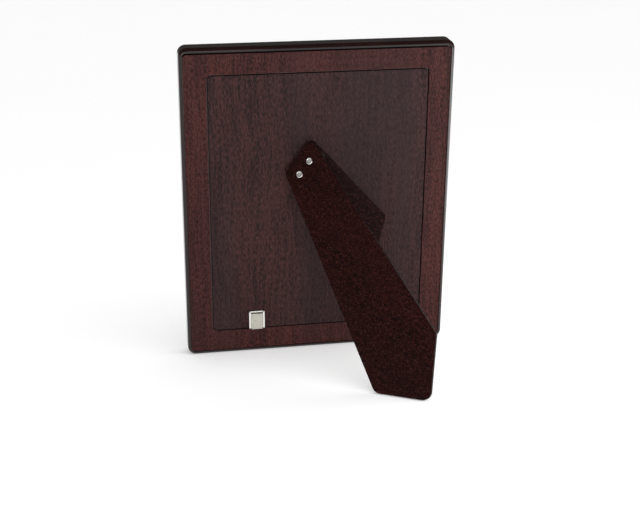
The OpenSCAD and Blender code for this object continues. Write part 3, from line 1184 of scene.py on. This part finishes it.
@dataclass(frozen=True)
class Moulding:
    """The lacquered moulding, mitred and lacquered as one.

    Attributes:
        stance: How the frame stands.
        palette: The finishes.
        width: Outside width.
        height: Outside height.
        depth: Depth from front to back.
        step: How far the rim stands behind the rear plate.
        corner_r: Corner radius seen from the front.
        edge_r: Radius along the outer edges.
        recess: Depth of the recess floor below the rear plate's back face.
        cavity: Width and height of the rebate for the picture stack.
        rebate: Depth of that rebate, from the back.
        sight: Width and height of the sight opening.
        sight_bevel: Width and depth of the bevel round the sight opening.
        rim_arris: Rounding of the rim behind the rear plate.
        front_arris: Rounding of the bevel's edges.
        corner_steps: Segments of a corner seen from the front.
        edge_steps: Segments of the rounding along the outer edges.
    """

    stance: Stance
    palette: Palette
    width: float = 258.0
    height: float = 308.0
    depth: float = 20.0
    step: float = 0.6
    corner_r: float = 8.0
    edge_r: float = 3.5
    recess: float = 3.0
    cavity: tuple[float, float] = (204.4, 255.2)
    rebate: float = 7.7
    sight: tuple[float, float] = (193.0, 244.0)
    sight_bevel: float = 5.0
    rim_arris: float = 0.3
    front_arris: float = 0.5
    corner_steps: int = 12
    edge_steps: int = 10

    # How near to a height along Y an edge counts as lying in it.
    NEAR = 0.1

    @property
    def front_y(self) -> float:
        """Returns the place of the moulding's front face."""
        return self.step - self.depth

    def build(self) -> None:
        """Builds the moulding and dresses its corner nails."""
        blank = Blank(self.stance.upright())
        self.shape(blank)
        blank.soften(self.rim_arris, 3, self.is_rim)
        blank.soften(self.front_arris, 3, self.is_bevel_edge)
        rails = ("rail_top", "rail_bottom", "rail_left", "rail_right")
        finishes = [self.palette.lacquer]
        blank.finish("lacquered_moulding", "frame", finishes, "moulding_lacquer", rails)
        dress("corner_nails", self.palette.steel)

    def shape(self, blank: Blank) -> None:
        """Shapes the rounded block, its rebates behind and its sight opening.

        Args:
            blank: The empty blank.
        """
        middle = self.height / 2
        half = self.width / 2
        blank.block((-half, self.front_y, 0), (half, self.step, self.height))
        blank.soften(self.corner_r, self.corner_steps, lambda e: runs_along(e, "y"))
        blank.soften(self.edge_r, self.edge_steps, is_sharp)
        back = blank.open_face(lambda f: is_broad(f, 1))
        floor = blank.sweep(back, (0, -self.recess - self.step, 0))
        cavity = blank.rectangle(self.cavity[0] / 2, self.cavity[1] / 2, middle, -self.recess)
        blank.fill_ring(floor, cavity)
        ledge = blank.sweep(cavity, (0, self.recess - self.rebate, 0))
        half_w, half_h = self.sight[0] / 2, self.sight[1] / 2
        opening = blank.rectangle(half_w, half_h, middle, -self.rebate)
        blank.fill_ring(ledge, opening)
        arris = blank.sweep(opening, (0, self.front_y + self.sight_bevel + self.rebate, 0))
        grow = (1 + self.sight_bevel / half_w, 1, 1 + self.sight_bevel / half_h)
        lip = blank.sweep(arris, (0, -self.sight_bevel, 0), grow, middle)
        front = blank.open_face(lambda f: is_broad(f, -1))
        blank.fill_ring(front, lip)
        bmesh.ops.recalc_face_normals(blank.bm, faces=blank.bm.faces)

    def is_rim(self, edge: BMEdge) -> bool:
        """Returns whether an edge is the sharp rim behind the rear plate."""
        return is_sharp(edge) and min(v.co.y for v in edge.verts) > self.step - self.NEAR

    def is_bevel_edge(self, edge: BMEdge) -> bool:
        """Tells whether an edge bounds the bevel round the sight opening.

        Args:
            edge: The edge.

        Returns:
            Whether it runs level round the bevel's inner or outer side.
        """
        first, second = (v.co.y for v in edge.verts)
        inner = self.front_y + self.sight_bevel + self.NEAR
        return is_folded(edge, 20) and max(first, second) < inner and abs(first - second) < 0.01


@dataclass(frozen=True)
class PictureStack:
    """Glass, print and filler card.

    Attributes:
        stance: How the frame stands.
        palette: The finishes.
        glass_arris: Ground edge of the glass.
    """

    stance: Stance
    palette: Palette
    glass_arris: float = 0.2

    def build(self) -> None:
        """Builds the ground glass and dresses the sheets behind it."""
        blank = Blank.from_node("glass_pane", self.stance.upright())
        blank.soften(self.glass_arris, 1, is_sharp)
        blank.finish("ground_glass", "frame", [self.palette.glass], "clear_glass", ["glass_pane"])
        dress("print_sheet", self.palette.paper)
        dress("filler_card", self.palette.card)


@dataclass(frozen=True)
class Back:
    """Rear plate and back panel, with the panel's tongues.

    Attributes:
        stance: How the frame stands.
        palette: The finishes.
        arris: Rounding of the boards' edges.
        window_side: How far the window's edges are from the frame's middle, at most.
        window_top: Height of the window's top edge.
        rubbed_from: Height above which the window's side gets the painted highlight.
    """

    stance: Stance
    palette: Palette
    arris: float = 0.3
    window_side: float = 105.0
    window_top: float = 282.5
    rubbed_from: float = 20.0

    def build(self) -> None:
        """Builds both boards and dresses the hidden steel."""
        edge, rubbed = self.palette.edge, self.palette.rubbed
        for node, name, finishes, slot in (
            ("rear_plate", "veneered_plate", [self.palette.plate, edge, rubbed], "plate_veneer"),
            ("back_panel", "veneered_panel", [self.palette.panel, edge], "panel_veneer"),
        ):
            blank = Blank.from_node(node, self.stance.upright())
            blank.soften(self.arris, 2, is_sharp)
            blank.coat(1, is_edge_face)
            # The window's arris gets a painted highlight on one side and the top.
            if rubbed in finishes:
                blank.coat(2, self.is_rubbed)
            blank.finish(name, "frame", finishes, slot, [node])
        dress("panel_tongues", self.palette.browned_steel)
        dress("tongue_nails", self.palette.steel)

    def is_rubbed(self, face: BMFace) -> bool:
        """Tells whether a face is on the part of the window's arris that gets a painted highlight.

        That is one side and the top, where the arris catches the light.

        Args:
            face: The face.

        Returns:
            Whether it is rubbed.
        """
        middle = face.calc_center_median()
        side = 0 < middle.x < self.window_side and middle.z > self.rubbed_from
        top = abs(middle.x) < self.window_side and abs(middle.z - self.window_top) < 1
        return 0.1 < face.normal.y < 0.95 and (side or top)


class Side(Enum):
    """Which end of the panel's bottom edge a catch sits at."""

    LEFT = "left"
    RIGHT = "right"

    @property
    def sign(self) -> int:
        """Returns the side's direction along X."""
        return -1 if self is Side.LEFT else 1


@dataclass(frozen=True)
class Catch:
    """One spring catch: folded case, slide and bowed spring.

    Attributes:
        stance: How the frame stands.
        palette: The finishes.
        side: Which catch it is.
        offset: Distance from the middle of the panel.
        half_w: Half the width of the case.
        panel_bottom: Height of the panel's bottom edge.
        wire_r: Radius of the spring wire.
        spring_r: Radius of the spring's bow.
        spring_z: Height of the bow's middle above the panel's bottom edge.
        spring_y: Depth of the wire.
        fold_r: Rounding of the case's folds.
        case_arris: Rounding of the case's other edges.
        slide_arris: Rounding of the slide's edges.
    """

    stance: Stance
    palette: Palette
    side: Side
    offset: float = 60.5
    half_w: float = 7.8
    panel_bottom: float = 25.5
    wire_r: float = 0.25
    spring_r: float = 4.6
    spring_z: float = 10.5
    spring_y: float = 0.85
    fold_r: float = 0.5
    case_arris: float = 0.1
    slide_arris: float = 0.14

    @property
    def centre(self) -> float:
        """Returns the place of the catch's middle along X."""
        return self.side.sign * self.offset

    def build(self) -> None:
        """Builds the case, the slide and the spring."""
        end = self.side.value
        nickel, satin, steel = self.palette.nickel, self.palette.satin_nickel, self.palette.spring
        case = Blank.from_node(f"catch_case_{end}", self.stance.upright())
        case.soften(self.fold_r, 4, self.is_fold)
        case.soften(self.case_arris, 2, is_sharp)
        slide = Blank.from_node(f"catch_slide_{end}", self.stance.upright())
        slide.soften(self.slide_arris, 3, is_sharp)
        for blank, name, body, metal, slot, node in (
            (case, "folded_case", "frame", nickel, "catch_nickel", "case"),
            (slide, "pressed_slide", f"slide_{end}", satin, "catch_nickel", "slide"),
            (self.spring(), "bowed_wire", "frame", steel, "spring_steel", "spring"),
        ):
            blank.finish(f"{name}_{end}", body, [metal], slot, [f"catch_{node}_{end}"])

    def is_fold(self, edge: BMEdge) -> bool:
        """Returns whether an edge is the outside of one of the case's folds."""
        outside = all(abs(abs(v.co.x - self.centre) - self.half_w) < 0.01 for v in edge.verts)
        return is_sharp(edge) and outside and runs_along(edge, "z")

    def spring(self) -> Blank:
        """Bends the spring wire into its bow.

        Returns:
            The spring's blank.
        """
        blank = Blank(self.stance.upright())
        bow = (self.centre, self.spring_y, self.panel_bottom + self.spring_z)
        ring = bmesh.ops.create_circle(
            blank.bm, cap_ends=False, segments=16, radius=self.wire_r
        )["verts"]
        bmesh.ops.translate(blank.bm, vec=(bow[0] + self.spring_r, bow[1], bow[2]), verts=ring)
        bmesh.ops.spin(
            blank.bm,
            geom=[*ring, *blank.bm.edges],
            cent=bow,
            axis=(0, -1, 0),
            angle=math.pi,
            steps=40,
            use_merge=False,
        )
        ends = [e for e in blank.bm.edges if e.is_boundary]
        bmesh.ops.holes_fill(blank.bm, edges=ends, sides=0)
        bmesh.ops.recalc_face_normals(blank.bm, faces=blank.bm.faces)
        return blank


@dataclass(frozen=True)
class EaselLeg:
    """Base plate, leg board, hinge, rivets and screws.

    Attributes:
        stance: How the frame stands.
        palette: The finishes.
        arris: Rounding of the leg's edges.
        base_arris: Rounding of the base plate's edges.
        fold_half: Distance from the hinge pin to each leaf's outer face.
        leg_t: Thickness of the leg board.
        leaf_t: Thickness of a hinge leaf.
        rivet_at: Place of each rivet along the hinge.
        rivet_z: Place of the rivets along the leg.
        rivet_r: Radius of a rivet's shank.
        head_r: Radius of a rivet's head.
        head_t: Height of a rivet's head.
        dish_r: Radius of the dish in the head.
        tail_r: Radius of a rivet's tail.
        tail_t: Height of a rivet's tail.
        head_slope: Width of the slope round a rivet's head.
        dish_slope: Width of the slope into the dish.
        dish_t: Depth of the dish.
        rivet_arris: Rounding of a rivet's edges.
        leaf_arris: Rounding of the hinge's edges.
    """

    stance: Stance
    palette: Palette
    arris: float = 0.7
    base_arris: float = 0.6
    fold_half: float = 1.4
    leg_t: float = 3.5
    leaf_t: float = 0.5
    rivet_at: tuple[float, float] = (-3.5, 12.2)
    rivet_z: float = -8.8
    rivet_r: float = 1.5
    head_r: float = 3.3
    head_t: float = 0.8
    dish_r: float = 2.0
    tail_r: float = 2.3
    tail_t: float = 0.45
    head_slope: float = 0.45
    dish_slope: float = 0.3
    dish_t: float = 0.2
    rivet_arris: float = 0.12
    leaf_arris: float = 0.06

    def build(self) -> None:
        """Builds the boards, the rivets and the hinge."""
        self.boards()
        self.rivets()
        self.hinge()

    def boards(self) -> None:
        """Builds the leg board and its base plate."""
        for node, name, body, opened, arris, veneer in (
            ("leg", "veneered_leg", "leg", True, self.arris, self.palette.leg),
            # The base plate's darker veneer is painted shade from the leg above it.
            ("leg_base", "veneered_base", "frame", False, self.base_arris, self.palette.base),
        ):
            blank = Blank.from_node(node, self.stance.hinge(opened))
            blank.soften(arris, 3, is_sharp)
            blank.coat(1, is_edge_face)
            blank.finish(name, body, [veneer, self.palette.leg_edge], "leg_veneer", [node])

    def rivets(self) -> None:
        """Builds the two dished rivets."""
        blank = Blank(self.stance.hinge(True))
        top = self.fold_half + self.leg_t
        under = -self.leg_t - self.leaf_t
        profile = [
            (0, under - self.tail_t),
            (self.tail_r, under - self.tail_t),
            (self.tail_r, under),
            (self.rivet_r, under),
            (self.rivet_r, 0),
            (self.head_r, 0),
            (self.head_r, self.head_t / 2),
            (self.head_r - self.head_slope, self.head_t),
            (self.dish_r + self.dish_slope, self.head_t),
            (self.dish_r, self.head_t - self.dish_t),
            (0, self.head_t - self.dish_t),
        ]
        for x in self.rivet_at:
            blank.turned(profile, (x, top, self.rivet_z))
        blank.soften(self.rivet_arris, 3, lambda e: is_folded(e, 25))
        blank.finish("dished_rivets", "leg", [self.palette.nickel], "catch_nickel", ["leg_rivets"])

    def hinge(self) -> None:
        """Builds the hinge's leaves, pin and screws."""
        for node, name, body, opened, slot in (
            ("hinge_leaf_base", "rolled_leaf_base", "frame", False, "hinge_steel"),
            ("hinge_leaf_leg", "rolled_leaf_leg", "leg", True, "hinge_steel"),
            ("hinge_pin", "hinge_rod", "frame", False, "hinge_steel"),
            ("base_screws", "slotted_screws", "frame", False, "steel_nail"),
        ):
            blank = Blank.from_node(node, self.stance.hinge(opened))
            blank.soften(self.leaf_arris, 2, is_sharp)
            blank.finish(name, body, [self.palette.hinge_steel], slot, [node])
        dress("catch_nails", self.palette.steel)


# ---- studio ----------------------------------------------------------------------------------


@dataclass(frozen=True)
class ViewCamera:
    """Camera that looks down at the back of the frame.

    Attributes:
        location: Where it stands, in metres.
        target: Where it looks, in metres.
        roll: Turn about its own line of sight, in degrees.
        lens: Focal length, in millimetres.
        sensor: Width of the sensor, in millimetres.
        reach: Nearest and farthest distance that it sees, in metres.
    """

    location: Point = (0.19999, 1.09876, 0.42523)
    target: Point = (0.01784, 0.05486, 0.12999)
    roll: float = -0.814
    lens: float = 70.31
    sensor: float = 36.0
    reach: tuple[float, float] = (0.05, 100.0)

    def build(self) -> None:
        """Adds the camera to the scene."""
        data = bpy.data.cameras.new("view_camera")
        data.lens = self.lens
        data.sensor_width = self.sensor
        data.clip_start, data.clip_end = self.reach
        camera = bpy.data.objects.new("view_camera", data)
        aim = (Vector(self.target) - Vector(self.location)).to_track_quat("-Z", "Y")
        turn = aim @ Quaternion((0, 0, 1), math.radians(self.roll))
        camera.matrix_world = Matrix.Translation(self.location) @ turn.to_matrix().to_4x4()
        bpy.context.scene.collection.objects.link(camera)
        bpy.context.scene.camera = camera
        LOG.info("camera stands at %s", self.location)


@dataclass(frozen=True)
class Softbox:
    """One soft light.

    Attributes:
        name: Name of the light.
        location: Where it hangs, in metres.
        size: Width and height, in metres.
        power: Power, in watts.
        aim: Point that it shines at.
    """

    name: str
    location: Point
    size: tuple[float, float]
    power: float
    aim: Point = (0.0, 0.0, 0.15)

    def build(self) -> None:
        """Adds the light to the scene, turned to its aim."""
        data = bpy.data.lights.new(self.name, "AREA")
        data.shape = "RECTANGLE"
        data.size, data.size_y = self.size
        data.energy = self.power
        hang(self.name, data, Vector(self.location), Vector(self.aim))


def hang(
    name: str, data: bpy.types.Light, location: Vector, aim: Vector, mirrored: bool = True
) -> None:
    """Hangs a light.

    Args:
        name: Name of the light.
        data: The light.
        location: Where it hangs.
        aim: Point that it shines at.
        mirrored: Whether glossy surfaces mirror it.
    """
    light = bpy.data.objects.new(name, data)
    turn = (aim - location).to_track_quat("-Z", "Y")
    light.matrix_world = Matrix.Translation(location) @ turn.to_matrix().to_4x4()
    light.visible_glossy = mirrored
    bpy.context.scene.collection.objects.link(light)


@dataclass(frozen=True)
class Studio:
    """Pale floor, soft surroundings and lights.

    Attributes:
        floor_colour: Colour of the floor.
        floor_glow: Light that the floor gives of itself.
        floor_reach: Half the side of the floor, in metres.
        horizon: Brightness of the surroundings at eye level.
        zenith: Brightness overhead.
        sky_rise: Heights between which the brightness changes from one to the other.
        shade_rise: Heights between which the mirrored surroundings darken.
        flag_from: Direction of the dark flag that the moulding's top mirrors.
        flag_edge: Nearness to that direction at which the flag begins and is full.
        card_from: Direction of the pale card that the leg's rivets mirror.
        card_edge: Nearness to that direction at which the card begins and is full.
        card_share: Share of the shade that the card takes away.
        unlit: Share of the light that is mirrored from the flag and from overhead.
        overhead: Strength of the broad overhead light.
        overhead_from: Direction that it comes from.
        overhead_spread: Angle that it covers, in degrees.
        overhead_far: Distance at which it hangs, as a multiple of that direction.
        boxes: The soft lights.
    """

    floor_colour: Colour = (0.90, 0.90, 0.90)
    floor_glow: float = 0.22
    floor_reach: float = 14.0
    horizon: float = 0.85
    zenith: float = 0.55
    sky_rise: tuple[float, float] = (0.1, 0.9)
    shade_rise: tuple[float, float] = (-0.02, 0.2)
    flag_from: Point = (-0.17, -0.95, 0.26)
    flag_edge: tuple[float, float] = (0.75, 0.92)
    card_from: Point = (0.82, 0.50, 0.27)
    card_edge: tuple[float, float] = (0.85, 0.95)
    card_share: float = 0.3
    unlit: float = 0.12
    overhead: float = 0.95
    overhead_from: Point = (-0.25, 0.35, 1.0)
    overhead_spread: float = 60.0
    overhead_far: float = 3.0
    boxes: tuple[Softbox, ...] = (
        Softbox("low_fill", (0.25, 1.4, 0.2), (0.8, 0.4), 3.0),
        Softbox("floor_wash", (-0.8, 0.3, 0.2), (0.8, 1.0), 16.0, (-0.8, 0.3, 0.0)),
    )

    def build(self) -> None:
        """Adds the floor, the surroundings and the lights."""
        bpy.context.scene.view_settings.view_transform = "Standard"
        self.floor()
        self.surroundings()
        data = bpy.data.lights.new("overhead_light", "SUN")
        data.energy = self.overhead
        data.angle = math.radians(self.overhead_spread)
        place = Vector(self.overhead_from) * self.overhead_far
        hang("overhead_light", data, place, Vector((0, 0, 0)), mirrored=False)
        for box in self.boxes:
            box.build()

    def floor(self) -> None:
        """Adds the floor."""
        bm = bmesh.new()
        bmesh.ops.create_grid(bm, x_segments=4, y_segments=4, size=self.floor_reach)
        mesh = bpy.data.meshes.new("studio_floor")
        bm.to_mesh(mesh)
        bm.free()
        finish = Floor("pale_floor", self.floor_colour, self.floor_glow)
        mesh.materials.append(finish.material())
        floor = bpy.data.objects.new("studio_floor", mesh)
        bpy.context.scene.collection.objects.link(floor)

    def surroundings(self) -> None:
        """Lights the studio all round, plain white to the eye.

        Mirrored in a glossy surface, it darkens overhead and at the flag beyond the frame, less so
        at the pale card.
        """
        world = bpy.data.worlds.new("soft_surroundings")
        world.use_nodes = True
        maker = NodeMaker(world.node_tree)
        ahead = maker.node("ShaderNodeTexCoord", None, None, "Generated")
        height = maker.node("ShaderNodeSeparateXYZ", None, {0: ahead}, "Z")
        dot = {"operation": "DOT_PRODUCT"}
        flag, card = (
            maker.node("ShaderNodeVectorMath", dot, {0: ahead, 1: towards}, "Value")
            for towards in (self.flag_from, self.card_from)
        )
        seen = maker.node("ShaderNodeLightPath", None, None, "Is Camera Ray")
        mirrored = maker.node("ShaderNodeLightPath", None, None, "Is Glossy Ray")
        sky = self.horizon - height.step(*self.sky_rise) * (self.horizon - self.zenith)
        shade = height.step(*self.shade_rise).most(flag.step(*self.flag_edge))
        shade = shade * (1.0 - card.step(*self.card_edge) * self.card_share) * (1.0 - self.unlit)
        strength = seen + (1.0 - seen) * sky * (1.0 - mirrored * shade)
        sockets = {"Color": (1.0, 1.0, 1.0, 1.0), "Strength": strength}
        light = maker.node("ShaderNodeBackground", None, sockets)
        maker.node("ShaderNodeOutputWorld", None, {"Surface": light})
        bpy.context.scene.world = world


def main() -> None:
    """Builds every sub-assembly in order."""
    logging.basicConfig(level=logging.INFO, format="%(name)s: %(message)s")
    ViewCamera().build()
    stance = Stance.from_record(frame["record"], frame["joints"])
    palette = Palette.for_stance(stance)
    Moulding(stance, palette).build()
    PictureStack(stance, palette).build()
    Back(stance, palette).build()
    for side in Side:
        Catch(stance, palette, side).build()
    EaselLeg(stance, palette).build()
    Studio().build()


if __name__ == "__main__":
    main()
